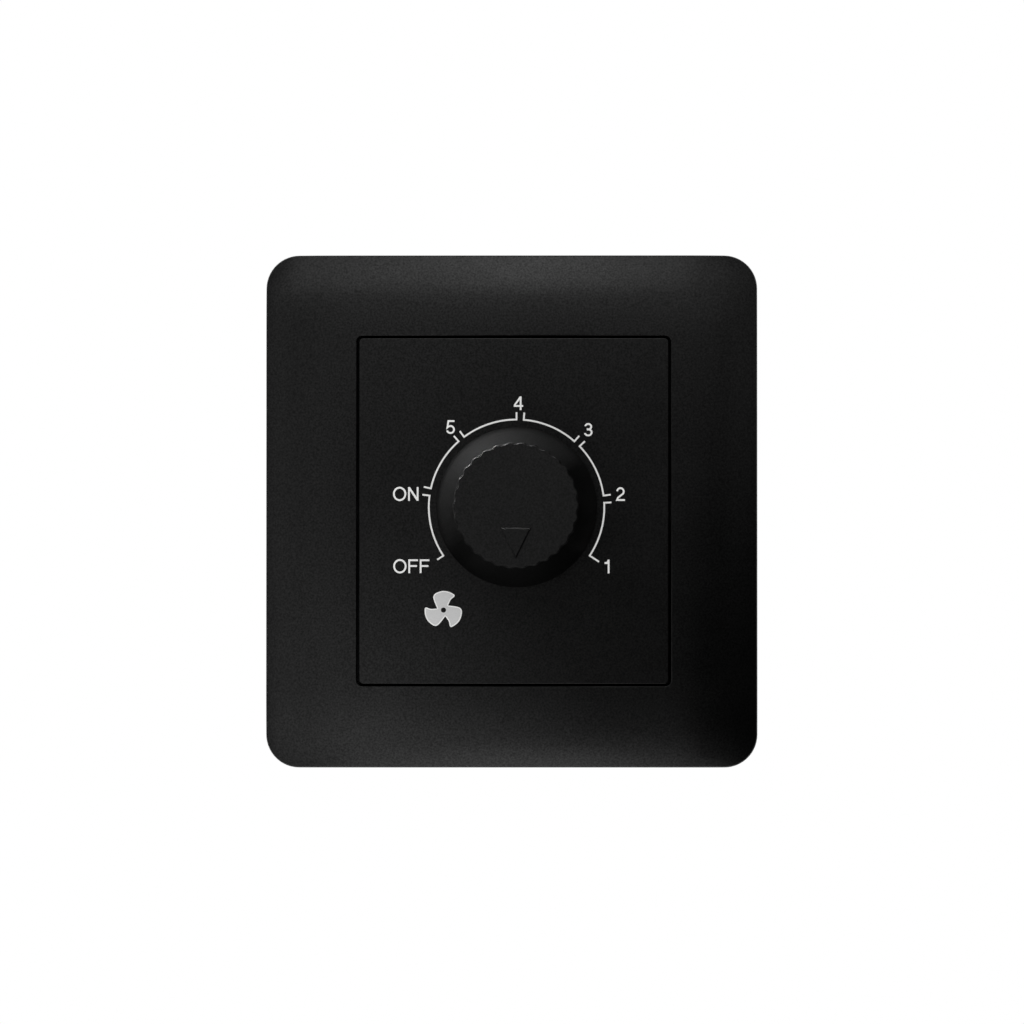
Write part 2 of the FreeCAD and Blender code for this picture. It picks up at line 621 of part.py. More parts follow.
def control_knob():
    """Smooth conical skirt under a fluted head, hollow behind, with a ribbed hub on the shaft's flat."""
    x, z = KNOB_X, KNOB_Z
    head_low = KNOB_TOP - HEAD_HEIGHT
    neck = HEAD_DIAMETER - 2 * FLUTE_DEPTH
    skirt = cone(KNOB_DIAMETER, neck, KNOB_BASE, head_low + SKIRT_BLEND, x, z)
    outlines = [fluted_outline(HEAD_DIAMETER, level) for level in (head_low, KNOB_TOP - HEAD_BEVEL)]
    outlines.append(fluted_outline(HEAD_DIAMETER - 2 * HEAD_BEVEL, KNOB_TOP))
    head = Part.makeLoft(outlines, True, True)
    body = fused(skirt, head)
    body = body.cut(cone(KNOB_DIAMETER - 2 * KNOB_WALL, neck - 2 * KNOB_WALL, KNOB_BASE, BORE_END, x, z))
    hub = disc(HUB_DIAMETER, HUB_FOOT, BORE_END + KNOB_ROOF / 2, x, z)
    body = fused(body, hub, *knob_ribs(), pointer())
    return body.cut(shaft_bore())


def knob_ribs():
    """Thin webs between hub and wall, kept above the spring that grips the hub."""
    low = HUB_FOOT + SPRING_WIDTH + 2 * RUNNING_GAP
    outer = HEAD_DIAMETER / 2 - KNOB_WALL / 2
    inner = HUB_DIAMETER / 2 - RUNNING_GAP
    ribs = []
    for i in range(HUB_RIBS):
        middle = KNOB_X + (outer + inner) / 2
        web = block(outer - inner, HUB_RIB, low, BORE_END + KNOB_ROOF / 2, middle, KNOB_Z)
        web.rotate(point(KNOB_X, KNOB_Z, 0), TOWARDS_ROOM, 360 * i / HUB_RIBS)
        ribs.append(web)
    return ribs


def pointer():
    """Raised triangle with sloping sides near the rim, pointing down at rest."""
    base = POINTER_LENGTH - POINTER_TIP
    half = POINTER_WIDTH / 2
    corners = [(KNOB_X - half, KNOB_Z + base), (KNOB_X, KNOB_Z - POINTER_TIP), (KNOB_X + half, KNOB_Z + base)]
    top = KNOB_TOP + POINTER_HEIGHT
    triangle = prism(corners, KNOB_TOP - KNOB_ROOF / 2, top)
    return triangle.makeChamfer(POINTER_BEVEL, edges_at_level(triangle, top))


def shaft_bore():
    round_bore = disc(SHAFT_DIAMETER + 2 * SHAFT_CLEARANCE, HUB_FOOT, BORE_END, KNOB_X, KNOB_Z)
    side = SHAFT_DIAMETER + 2 * SHAFT_CLEARANCE
    keep = block(side, side, HUB_FOOT, BORE_END, KNOB_X, KNOB_Z + SHAFT_FLAT + SHAFT_CLEARANCE + side / 2)
    return round_bore.cut(keep)


def knob_spring():
    """Open band of spring steel that squeezes the hub onto the shaft."""
    high = HUB_FOOT + SPRING_WIDTH
    band = ring(HUB_DIAMETER + 2 * SPRING_WIRE, HUB_DIAMETER, HUB_FOOT, high, KNOB_X, KNOB_Z)
    return band.cut(sector(HUB_DIAMETER, HUB_DIAMETER / 4, 270, SPRING_GAP, HUB_FOOT, high, KNOB_X, KNOB_Z))


def choke_place():
    """The choke lies in the upper left corner of the housing."""
    inset = BOARD_CLEARANCE + PART_CLEARANCE + CHOKE_DIAMETER / 2
    return inset - ROOM_X, ROOM_Z - inset


def choke_leads():
    turn = CHOKE_DIAMETER / 2 - CHOKE_WIRE / 2
    spread = (360 - CHOKE_ARC) / 2
    return [polar(turn, CHOKE_BARE_ANGLE + side * spread, *choke_place()) for side in (-1, 1)]


def choke_core():
    x, z = choke_place()
    inset = 2 * CHOKE_WIRE
    return ring(CHOKE_DIAMETER - inset, CHOKE_BORE + inset, BOARD_FRONT + CHOKE_WIRE,
                BOARD_FRONT + CHOKE_HEIGHT - CHOKE_WIRE, x, z)


def choke_winding():
    """Copper wound round most of the core, with two ends that go through the board."""
    x, z = choke_place()
    low = BOARD_FRONT
    high = low + CHOKE_HEIGHT
    coil = ring(CHOKE_DIAMETER, CHOKE_BORE, low, high, x, z)
    coil = coil.makeChamfer(CHOKE_WIRE / 2, edges_at_level(coil, low) + edges_at_level(coil, high))
    bare = sector(CHOKE_DIAMETER, CHOKE_BORE / 4, CHOKE_BARE_ANGLE, 360 - CHOKE_ARC, low, high, x, z)
    ends = [disc(LEAD, LEAD_END, high - CHOKE_WIRE, px, pz) for px, pz in choke_leads()]
    return fused(coil.cut(bare), *ends).cut(choke_core())


def boxed_capacitor(width, depth, height, x, z):
    """Moulded box capacitor that stands on the board on two leads."""
    body = block(width, depth, BOARD_FRONT, BOARD_FRONT + height, x, z, CAP_ROUND)
    body = body.makeFillet(CAP_ROUND, edges_at_level(body, BOARD_FRONT + height))
    leads = [disc(LEAD, LEAD_END, BOARD_FRONT, px, pz) for px, pz in capacitor_leads(width, x, z)]
    return fused(body, *leads)


def capacitor_leads(width, x, z):
    half = width / 2 - PART_CLEARANCE - LEAD / 2
    return [(x - half, z), (x + half, z)]


def filter_place():
    x = ROOM_X - BOARD_CLEARANCE - PART_CLEARANCE - FILTER_WIDTH / 2
    z = ROOM_Z - BOARD_CLEARANCE - PART_CLEARANCE - FILTER_DEPTH / 2
    return x, z


def timing_place():
    x = BOARD_CLEARANCE + PART_CLEARANCE + TIMING_WIDTH / 2 - ROOM_X
    z = fuse_place()[1] + FUSE_DIAMETER / 2 + PART_CLEARANCE + TIMING_DEPTH / 2
    return x, z


def fuse_place():
    inset = BOARD_CLEARANCE + PART_CLEARANCE + FUSE_DIAMETER / 2
    return inset - ROOM_X, inset - ROOM_Z


def fuse_leads():
    x, z = fuse_place()
    return [(x - FUSE_DIAMETER / 4, z), (x + FUSE_DIAMETER / 4, z)]


def board_fuse():
    x, z = fuse_place()
    can = disc(FUSE_DIAMETER, BOARD_FRONT, BOARD_FRONT + FUSE_HEIGHT, x, z)
    can = can.makeChamfer(CAP_ROUND, edges_at_level(can, BOARD_FRONT + FUSE_HEIGHT))
    return fused(can, *[disc(LEAD, LEAD_END, BOARD_FRONT, px, pz) for px, pz in fuse_leads()])


def axial_place(row):
    """Parts that lie along X beside the potentiometer, counted upward from the timing capacitor."""
    x = BOARD_CLEARANCE + PART_CLEARANCE + AXIAL_PITCH / 2 - ROOM_X
    z = timing_place()[1] + TIMING_DEPTH / 2 + PART_CLEARANCE + ROW_PITCH * (row + 0.5)
    return x, z


def axial_leads(row):
    x, z = axial_place(row)
    return [(x - AXIAL_PITCH / 2 + LEAD / 2, z), (x + AXIAL_PITCH / 2 - LEAD / 2, z)]


def axial_part(row, diameter, length):
    """Cylinder that lies on the board, with its two leads bent down into it."""
    x, z = axial_place(row)
    middle = BOARD_FRONT + diameter / 2
    along = FreeCAD.Vector(1, 0, 0)
    body = Part.makeCylinder(diameter / 2, length, point(x - length / 2, z, middle), along)
    body = body.makeChamfer(CAP_ROUND / 2, body.Edges[:1] + body.Edges[2:])
    left, right = axial_leads(row)
    corners = [point(*left, LEAD_END), point(*left, middle), point(*right, middle), point(*right, LEAD_END)]
    return body.fuse(bent_lead(corners))


def bent_lead(corners):
    """Round wire through the corners, with a bend of one radius at each."""
    start = corners[0]
    path = []
    for before, corner, after in zip(corners, corners[1:], corners[2:]):
        arriving = (corner - before).normalize()
        leaving = (after - corner).normalize()
        first = corner - arriving * LEAD_BEND
        last = corner + leaving * LEAD_BEND
        middle = first + leaving * LEAD_BEND + (arriving - leaving).normalize() * LEAD_BEND
        path += [Part.LineSegment(start, first).toShape(), Part.Arc(first, middle, last).toShape()]
        start = last
    path.append(Part.LineSegment(start, corners[-1]).toShape())
    section = Part.Circle(corners[0], corners[1] - corners[0], LEAD / 2).toShape()
    return Part.Wire(path).makePipeShell([Part.Wire(section)], True, True)


def triac_lead_places():
    return [(TRIAC_X + i * TRIAC_PITCH, TRIAC_LEAD_Z) for i in (-1, 0, 1)]


def insulating_pad():
    height = TRIAC_TAB + TRIAC_BODY + 2 * PAD_MARGIN
    z = TRIAC_Z + TRIAC_TAB / 2 + PAD_MARGIN - height / 2
    sheet = block(TRIAC_WIDTH + 2 * PAD_MARGIN, height, -PAD_THICKNESS, 0, TRIAC_X, z)
    return sheet.cut(disc(TRIAC_SCREW + 2 * HOLE_CLEARANCE, -PAD_THICKNESS, 0, TRIAC_X, TRIAC_Z))


def triac_leadframe():
    """Metal tab screwed to the support plate, and three leads bent back to the board."""
    height = TRIAC_TAB + TRIAC_BODY
    z = TRIAC_Z + TRIAC_TAB / 2 - height / 2
    tab_back = -PAD_THICKNESS - TRIAC_TAB_THICKNESS
    tab = block(TRIAC_WIDTH, height, tab_back, -PAD_THICKNESS, TRIAC_X, z)
    tab = tab.cut(disc(TRIAC_HOLE, tab_back, -PAD_THICKNESS, TRIAC_X, TRIAC_Z))
    level = -PAD_THICKNESS - TRIAC_THICKNESS / 2
    start = TRIAC_Z - TRIAC_TAB / 2 - TRIAC_BODY / 2
    leads = []
    for x, end in triac_lead_places():
        leads.append(bent_lead([point(x, start, level), point(x, end, level), point(x, end, LEAD_END)]))
    return Part.makeCompound([tab] + leads)


def triac_body():
    z = TRIAC_Z - TRIAC_TAB / 2 - TRIAC_BODY / 2
    body = block(TRIAC_WIDTH, TRIAC_BODY, TRIAC_BACK, -PAD_THICKNESS, TRIAC_X, z)
    body = body.makeChamfer(CAP_ROUND, edges_at_level(body, TRIAC_BACK))
    return body.cut(triac_leadframe().Solids)


def triac_screw():
    seat = -PAD_THICKNESS - TRIAC_TAB_THICKNESS
    back = seat - TRIAC_SCREW_HEAD_HEIGHT
    head = disc(TRIAC_SCREW_HEAD, back, seat, TRIAC_X, TRIAC_Z)
    head = head.makeChamfer(TRIAC_SCREW_HEAD_HEIGHT / 3, edges_at_level(head, back))
    head = head.cut(block(TRIAC_SCREW_HEAD, SCREW_SLOT, back, back + SCREW_RECESS, TRIAC_X, TRIAC_Z))
    return fused(head, disc(TRIAC_SCREW, seat, SHEET, TRIAC_X, TRIAC_Z))


def circuit_board():
    """Board on the switch's back, cut round the housing's posts' corners and drilled for every lead."""
    width = 2 * (ROOM_X - BOARD_CLEARANCE)
    height = 2 * (ROOM_Z - BOARD_CLEARANCE)
    board = block(width, height, BOARD_BACK, BOARD_FRONT, corner=HOUSING_CORNER - HOUSING_WALL)
    drill = LEAD + 2 * LEAD_CLEARANCE
    return board.cut([disc(drill, BOARD_BACK, BOARD_FRONT, x, z) for x, z in lead_places()])


def lead_places():
    places = choke_leads() + pot_pin_places() + switch_pin_places() + fuse_leads() + triac_lead_places()
    places += capacitor_leads(FILTER_WIDTH, *filter_place()) + capacitor_leads(TIMING_WIDTH, *timing_place())
    for row in range(3):
        places += axial_leads(row)
    return places + [(x, CAGE_Z) for x in terminal_places()]


def terminal_places():
    return [-TERMINAL_PITCH / 2, TERMINAL_PITCH / 2]


def terminal_block():
    """Moulded block in the housing's lower rear edge: wires enter below, screws are reached from behind."""
    z = TERMINAL_BOTTOM + TERMINAL_HEIGHT / 2
    body = block(TERMINAL_WIDTH, TERMINAL_HEIGHT, HOUSING_BACK, BOARD_BACK, 0, z)
    body = body.makeChamfer(CAP_ROUND, edges_at_level(body, HOUSING_BACK))
    room = CAGE_SIZE + 2 * CAGE_CLEARANCE
    depth = CAGE_INSET + CAGE_LENGTH + CAGE_CLEARANCE
    cuts = []
    for x in terminal_places():
        cuts.append(block(room, depth, CAGE_BACK - CAGE_CLEARANCE, CAGE_FRONT + CAGE_CLEARANCE,
                          x, TERMINAL_BOTTOM + depth / 2))
        cuts.append(disc(CLAMP_WELL, HOUSING_BACK, CAGE_BACK, x, CAGE_Z))
        cuts.append(disc(LEAD + 2 * LEAD_CLEARANCE, CAGE_FRONT, BOARD_BACK, x, CAGE_Z))
    return body.cut(cuts)


def terminal_clamp(x):
    """Brass cage with a square wire passage, a threaded rear wall and a pin to the board."""
    cage = block(CAGE_SIZE, CAGE_LENGTH, CAGE_BACK, CAGE_FRONT, x, CAGE_Z)
    width = CAGE_SIZE - 2 * CAGE_WALL
    passage = block(width, CAGE_LENGTH, CAGE_BACK + CAGE_NUT_WALL, CAGE_FRONT - CAGE_WALL, x, CAGE_Z)
    thread = disc(CLAMP_SCREW + 2 * THREAD_CLEARANCE, CAGE_BACK, CAGE_BACK + CAGE_NUT_WALL, x, CAGE_Z)
    pin = disc(LEAD, CAGE_FRONT, BOARD_FRONT + LEAD_STICK_OUT, x, CAGE_Z)
    return fused(cage.cut([passage, thread]), pin)


def terminal_clamps():
    return Part.makeCompound([terminal_clamp(x) for x in terminal_places()])


def terminal_screws():
    return Part.makeCompound([slotted_screw(x, CAGE_Z) for x in terminal_places()])


def slotted_screw(x, z):
    """Clamp screw run halfway into its cage."""
    end = CAGE_BACK + CAGE_NUT_WALL
    seat = end - CLAMP_SCREW_LENGTH
    back = seat - CLAMP_HEAD_HEIGHT
    head = disc(CLAMP_HEAD, back, seat, x, z)
    head = head.makeChamfer(CLAMP_CHAMFER, edges_at_level(head, back))
    head = head.cut(block(CLAMP_HEAD, SCREW_SLOT, back, back + SCREW_RECESS, x, z))
    return fused(head, disc(CLAMP_SCREW, seat, end, x, z))


def export(name, shape):
    if not shape.isValid():
        raise ValueError(f"{name} isn't a valid shape")
    shape.exportStep(f"parts/{name}.step")


os.makedirs("parts", exist_ok=True)

NODES = {
    "surround_frame": surround_frame(),
    "front_cover": front_cover(),
    "support_plate": support_plate(),
    "rear_housing": rear_housing(),
    "housing_screws": housing_screws(),
    "pot_bushing": pot_bushing(),
    "pot_washer": pot_washer(),
    "pot_nut": pot_nut(),
    "pot_shell": pot_shell(),
    "pot_wafer": pot_wafer(),
    "pot_pins": pot_pins(),
    "switch_case": switch_case(),
    "switch_pins": switch_pins(),
    "control_shaft": control_shaft(),
    "shaft_clip": shaft_clip(),
    "pot_rotor": pot_rotor(),
    "pot_wiper": pot_wiper(),
    "control_knob": control_knob(),
    "knob_spring": knob_spring(),
    "circuit_board": circuit_board(),
    "choke_core": choke_core(),
    "choke_winding": choke_winding(),
    "filter_capacitor": boxed_capacitor(FILTER_WIDTH, FILTER_DEPTH, FILTER_HEIGHT, *filter_place()),
    "timing_capacitor": boxed_capacitor(TIMING_WIDTH, TIMING_DEPTH, TIMING_HEIGHT, *timing_place()),
    "board_fuse": board_fuse(),
    "diac": axial_part(0, DIAC_DIAMETER, DIAC_LENGTH),
    "resistor_lower": axial_part(1, RESISTOR_DIAMETER, RESISTOR_LENGTH),
    "resistor_upper": axial_part(2, RESISTOR_DIAMETER, RESISTOR_LENGTH),
    "insulating_pad": insulating_pad(),
    "triac_leadframe": triac_leadframe(),
    "triac_body": triac_body(),
    "triac_screw": triac_screw(),
    "terminal_block": terminal_block(),
    "terminal_clamps": terminal_clamps(),
    "terminal_screws": terminal_screws(),
}
for node, solid in NODES.items():
    export(node, solid)
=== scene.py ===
import json
import math

import bpy
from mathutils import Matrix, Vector


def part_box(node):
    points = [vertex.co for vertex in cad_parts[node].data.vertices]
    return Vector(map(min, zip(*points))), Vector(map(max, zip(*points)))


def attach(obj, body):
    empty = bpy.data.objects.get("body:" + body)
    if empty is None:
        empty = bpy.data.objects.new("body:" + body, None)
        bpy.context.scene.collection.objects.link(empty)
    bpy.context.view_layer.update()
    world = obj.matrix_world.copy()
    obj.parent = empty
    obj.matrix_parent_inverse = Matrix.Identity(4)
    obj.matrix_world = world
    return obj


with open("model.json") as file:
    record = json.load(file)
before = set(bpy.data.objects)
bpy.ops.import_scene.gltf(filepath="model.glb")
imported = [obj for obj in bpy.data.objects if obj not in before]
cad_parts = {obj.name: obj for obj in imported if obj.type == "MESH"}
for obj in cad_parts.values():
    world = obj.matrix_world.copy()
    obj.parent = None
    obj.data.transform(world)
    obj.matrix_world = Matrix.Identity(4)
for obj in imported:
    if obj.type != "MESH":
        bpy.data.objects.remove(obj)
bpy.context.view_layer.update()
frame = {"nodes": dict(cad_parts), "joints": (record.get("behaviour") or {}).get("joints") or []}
nodes = frame["nodes"]

# The frame is in metres; what is drawn on the cover is written in millimetres from the knob's axis.
MM = 0.001
AXIS_X, _, AXIS_Z = (value / MM for value in frame["joints"][0]["pos_m"])
COVER_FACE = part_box("front_cover")[0].y

# Dial print: a ring of brackets around the knob, each from one angle to another, with a mark at each gap
DIAL_RADIUS = 15.33
DIAL_LINE = 0.3
DIAL_STEP = 2.0
TICK_LENGTH = 1.27
END_TICK_LENGTH = 1.95
DIAL_BRACKETS = [(-33.5, 2.9), (7.6, 44.0), (48.7, 85.3), (90.0, 126.7), (131.3, 167.6), (172.4, 213.5)]
INK_THICKNESS = 0.012
MITRE_LIMIT = 0.3

# Lettering: height of the capitals, stroke and gap in shares of it, and the middle of each mark
CAP_HEIGHT = 2.4
STROKE = 0.13
LETTER_GAP = 0.13
LETTER_STEP = 12.0
MARKS = {
    "OFF": (-18.39, -10.31),
    "ON": (-19.36, 2.33),
    "5": (-11.5, 14.02),
    "4": (0.33, 18.17),
    "3": (12.55, 13.55),
    "2": (18.15, 2.3),
    "1": (15.81, -10.37),
}

# Fan sign: three blades given as polar points, turned about the hub, in grey with a white rim
SIGN_PLACE = (-12.76, -17.97)
BLADE = [(1.13, 165.7), (2.31, 135.5), (2.98, 126.4), (3.24, 114.3), (3.34, 92.7), (3.33, 73.6),
         (3.29, 57.0), (3.17, 52.4), (2.96, 51.4), (2.17, 54.6)]
BLADES = 3
BLADE_STEPS = 5
HUB_RADIUS = 0.45
SIGN_RIM = 0.2
RIM_SLACK = 0.95

# Plastics and metals: the range that noise covers, and broad patches in sizes of the grain
NOISE_RANGE = (0.3, 0.7)
EVEN = (1.0, 1.0, 1.0)
CLOUD_SIZE = 60
CLOUD_ROUGHNESS = 0.04
STAIN_SIZE = 30
STAIN_SHADE = 0.86
GRAIN_ROUGHNESS = 0.08
GRAIN_DETAIL = 4.0
SHEET_GRAIN = (1.0, 1.0, 0.06)
SHAFT_GRAIN = (0.1, 1.0, 0.1)
BLACK = (0.001, 0.001, 0.001)
STEEL = (0.62, 0.62, 0.61)

# The knob's skin changes with the y of its normal, which is -1 in front: how, in front, and at the sides
SIDE_TILT = (-0.9, -0.5)
SIDE_SKIN = {"Specular IOR Level": ("MULTIPLY", 1.0, 0.24), "Roughness": ("ADD", 0.0, 0.12)}

# Choke winding: its enamel is darker between the wires as painted shade and keeps its own colour on them
CHOKE_TURNS = 46
WIRE_COLOUR_AND_PAINTED_SHADE = ((0.22, 0.07, 0.03), (0.62, 0.27, 0.12))
WIRE_ROUGHNESS = (0.25, 0.4)
WIRE_GRAIN = 0.4 * MM
WIRE_HEIGHT = 0.2 * MM
WIRE_METALLIC = 0.8

# Camera and stage: lengths in metres, angles in degrees, view width and sensor in millimetres
VIEW_WIDTH = 180.0
CAMERA_DISTANCE = 1.5
CAMERA_AZIMUTH = 0.5
CAMERA_ELEVATION = -1.25
SENSOR = 36.0
FLOOR_RADIUS = 0.28
FLOOR_DROP = 0.5
FLOOR_SIDES = 96

# World: white backdrop, even light, and a dark room in reflections that begins between two values of y
BACKDROP = 1.0
AMBIENT = 0.74
ROOM_LEVEL = 0.0
ROOM_EDGE = (0.25, 0.6)

# Soft panels close to the plate: azimuth, elevation, width, height, and power in watts
PANEL_DISTANCE = 0.15
PANELS = {
    "panel_left": (-40.0, -12.0, 0.18, 0.33, 0.0482),
    "panel_far_left": (-70.0, 0.0, 0.1, 0.2, 0.0068),
    "panel_near_left": (-11.0, -26.0, 0.035, 0.105, 0.0042),
    "panel_low_left": (-31.0, -31.0, 0.175, 0.135, 0.0197),
    "panel_middle": (9.0, 23.0, 0.145, 0.06, 0.0103),
    "panel_top": (-6.0, 57.0, 0.19, 0.115, 0.024),
    "panel_top_left": (-21.0, 62.0, 0.12, 0.15, 0.0214),
    "panel_top_middle": (2.0, 58.0, 0.03, 0.105, 0.0105),
    "panel_bottom": (7.0, -55.0, 0.21, 0.115, 0.0028),
    "panel_bottom_middle": (-2.0, -63.0, 0.05, 0.065, 0.0088),
    "panel_right": (56.0, 28.0, 0.095, 0.135, 0.0092),
    "panel_corner_left": (-57.0, 40.0, 0.06, 0.06, 0.0035),
    "panel_corner_right": (55.0, 45.0, 0.05, 0.05, 0.0008),
}

# A narrow beam along the wall picks out the knob from the upper left
BEAM_AZIMUTH = -90.0
BEAM_ELEVATION = 57.0
BEAM_DISTANCE = 0.09
BEAM_SIZE = (0.0142, 0.034)
BEAM_POWER = 0.0045
BEAM_SPREAD = 5.0
BEAM_LEVEL = -0.0177
BEAM_MIDDLE = Vector((AXIS_X * MM, BEAM_LEVEL, AXIS_Z * MM))


def polar(radius, degrees):
    """Point at a radius and an angle."""
    angle = math.radians(degrees)
    return radius * math.cos(angle), radius * math.sin(angle)


def arc(cx, cy, rx, ry, start, end, step=LETTER_STEP):
    """Points on an ellipse from one angle to another, in degrees."""
    count = max(2, math.ceil(abs(end - start) / step))
    angles = [math.radians(start + (end - start) * i / count) for i in range(count + 1)]
    return [(cx + rx * math.cos(a), cy + ry * math.sin(a)) for a in angles]


def ellipse(cx, cy, rx, ry):
    """Points once round an ellipse."""
    return arc(cx, cy, rx, ry, 0, 360)[:-1]


def ribbon(path, width):
    """Closed outline of a line of even width along a path, with mitred corners."""
    points = [Vector(p) for p in path]
    left, right = [], []
    for i, p in enumerate(points):
        before = (p - points[i - 1]).normalized() if i else (points[1] - p).normalized()
        after = (points[i + 1] - p).normalized() if i + 1 < len(points) else before
        along = (before + after).normalized()
        side = Vector((-along.y, along.x))
        reach = width / 2 / max(MITRE_LIMIT, along.dot(after))
        left.append(tuple(p + side * reach))
        right.append(tuple(p - side * reach))
    return left + right[::-1]


def glyph(name):
    """Outlines of one character of a plain sans face, one unit high, and its width."""
    line = STROKE
    half = line / 2
    if name == "O":
        outer = ellipse(0.485, 0.5, 0.485, 0.52)
        inner = ellipse(0.485, 0.5, 0.485 - line, 0.52 - line)
        return [outer, inner], 0.97
    if name == "F":
        middle_arm = [(line, 0.45), (0.63, 0.45), (0.63, 0.45 + line), (line, 0.45 + line)]
        top_arm = [(line, 1 - line), (0.7, 1 - line), (0.7, 1)]
        return [[(0, 0), (line, 0)] + middle_arm + top_arm + [(0, 1)]], 0.7
    if name == "N":
        post = 0.76 - line
        left = [(0, 0), (line, 0), (line, 0.74)]
        right = [(post, 0), (0.76, 0), (0.76, 1), (post, 1), (post, 0.26)]
        return [left + right + [(line, 1), (0, 1)]], 0.76
    if name == "1":
        post = 0.36 - line
        flag = [(0.36, 1), (0.23, 1), (0.18, 0.86), (0, 0.81), (0, 0.69)]
        return [[(0.36, 0)] + flag + [(post, 0.69), (post, 0)]], 0.36
    if name == "2":
        bend = arc(0.33, 0.68, 0.27 - half / 2, 0.32 - half, 175, -40)
        return [ribbon(bend + [(0.16, 0.24), (0.08, half), (0.66, half)], line)], 0.66
    if name == "3":
        upper, lower, thin = (0.32, 0.72, 0.22, 0.1975), (0.32, 0.3025, 0.25, 0.22), (0, 0, half, half)
        top_out, low_out = ([a + b for a, b in zip(bowl, thin)] for bowl in (upper, lower))
        top_in, low_in = ([a - b for a, b in zip(bowl, thin)] for bowl in (upper, lower))
        outer = arc(*top_out, 170, -42) + arc(*low_out, 48, -168)
        inner = arc(*low_in, -165, 90) + [(0.22, 0.44), (0.22, 0.605)] + arc(*top_in, -90, 168)
        return [outer + inner], 0.66
    if name == "4":
        left, right, bar = 0.5 - half, 0.5 + half, 0.24 + line
        arm = [(right, 0.24), (0.68, 0.24), (0.68, bar), (right, bar)]
        outer = [(left, 0), (right, 0)] + arm + [(right, 1), (left, 1), (0, bar), (0, 0.24), (left, 0.24)]
        return [outer, [(left, bar), (left, 0.76), (0.14, bar)]], 0.68
    # What is left is the 5
    bowl = arc(0.31, 0.32, 0.29 - half / 2, 0.32 - half, 130, -165)
    return [ribbon([(0.6, 1 - half), (0.16, 1 - half), (0.09, 0.47)] + bowl, line)], 0.66


def word(text, middle):
    """Outlines of a mark, centred on its place, in millimetres from the knob's axis."""
    shapes = [glyph(letter) for letter in text]
    width = sum(w for _, w in shapes) + LETTER_GAP * (len(text) - 1)
    pen = -width / 2
    outlines = []
    for parts, letter_width in shapes:
        for outline in parts:
            outlines.append([(middle[0] + (pen + x) * CAP_HEIGHT, middle[1] + (y - 0.5) * CAP_HEIGHT)
                             for x, y in outline])
        pen += letter_width + LETTER_GAP
    return outlines


def bracket(start, end, first_tick):
    """One bracket of the dial: an arc with a tick turned outward at each end."""
    curve = arc(0, 0, DIAL_RADIUS, DIAL_RADIUS, start, end, DIAL_STEP)
    tick_in = polar(DIAL_RADIUS + first_tick, start)
    tick_out = polar(DIAL_RADIUS + TICK_LENGTH, end)
    return ribbon([tick_in] + curve + [tick_out], DIAL_LINE)


def through(points):
    """Smooth open curve through points."""
    knots = [Vector(p) for p in points]
    knots = [2 * knots[0] - knots[1]] + knots + [2 * knots[-1] - knots[-2]]
    curve = []
    for a, b, c, d in zip(knots, knots[1:], knots[2:], knots[3:]):
        slope, square, cube = c - a, 2 * a - 5 * b + 4 * c - d, 3 * b - a - 3 * c + d
        for i in range(BLADE_STEPS):
            t = i / BLADE_STEPS
            curve.append(b + (slope * t + square * t**2 + cube * t**3) / 2)
    return curve + [knots[-2]]


def fan_outline(inset):
    """Outline of the fan's blades, clockwise, drawn in by an inset all round."""
    outline = []
    for turn in range(BLADES):
        blade = [polar(radius, degrees - 360 / BLADES * turn) for radius, degrees in BLADE]
        root = polar(BLADE[0][0], BLADE[0][1] - 360 / BLADES * (turn + 1))
        outline += through(blade + [root])[:-1]
    drawn_in = []
    for i, p in enumerate(outline):
        along = (outline[(i + 1) % len(outline)] - outline[i - 1]).normalized()
        moved = p + Vector((along.y, -along.x)) * inset
        if all((moved - q).length >= RIM_SLACK * inset for q in outline):
            drawn_in.append((SIGN_PLACE[0] + moved.x, SIGN_PLACE[1] + moved.y))
    return drawn_in


def ink(name, outlines, material, level=0.0):
    """A thin layer of print on the cover, from closed outlines given about the knob's axis."""
    curve = bpy.data.curves.new(name, "CURVE")
    curve.dimensions = "2D"
    curve.fill_mode = "BOTH"
    curve.extrude = INK_THICKNESS / 2
    for outline in outlines:
        spline = curve.splines.new("POLY")
        spline.points.add(len(outline) - 1)
        for corner, (x, z) in zip(spline.points, outline):
            corner.co = (x, z, 0, 1)
        spline.use_cyclic_u = True
    drawn = bpy.data.objects.new(name, curve)
    mesh = bpy.data.meshes.new_from_object(drawn)
    bpy.data.objects.remove(drawn)
    for vertex in mesh.vertices:
        x, z, lift = vertex.co
        height = lift + INK_THICKNESS / 2 + level
        vertex.co = ((AXIS_X + x) * MM, COVER_FACE - height * MM, (AXIS_Z + z) * MM)
    piece = bpy.data.objects.new(name, mesh)
    bpy.context.scene.collection.objects.link(piece)
    mesh.materials.append(material)
    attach(piece, "switch")


def shader_of(name):
    """A fresh material, its node tree and its surface shader."""
    material = bpy.data.materials.new(name)
    material.use_nodes = True
    return material, material.node_tree, material.node_tree.nodes["Principled BSDF"]


def wired(tree, kind, inputs, operation=None):
    """Adds a shader node, sets its inputs to numbers or links them to outputs, and returns its outputs."""
    added = tree.nodes.new("ShaderNode" + kind)
    if operation:
        added.operation = operation
    for label, value in inputs.items():
        if isinstance(value, bpy.types.NodeSocket):
            tree.links.new(value, added.inputs[label])
        else:
            added.inputs[label].default_value = value
    return added.outputs


def noise(tree, size, detail=3.0, stretch=EVEN):
    """Noise with features of about the given size in metres, fixed to the object."""
    spot = wired(tree, "TexCoord", {})["Object"]
    scaled = wired(tree, "Mapping", {"Vector": spot, "Scale": stretch})["Vector"]
    return wired(tree, "TexNoise", {"Vector": scaled, "Scale": 1.0 / size, "Detail": detail})["Fac"]


def remap(tree, value, source, target):
    """Carries a value from one range over to another."""
    limits = dict(zip(("From Min", "From Max", "To Min", "To Max"), (*source, *target)))
    return wired(tree, "MapRange", {"Value": value, **limits})["Result"]


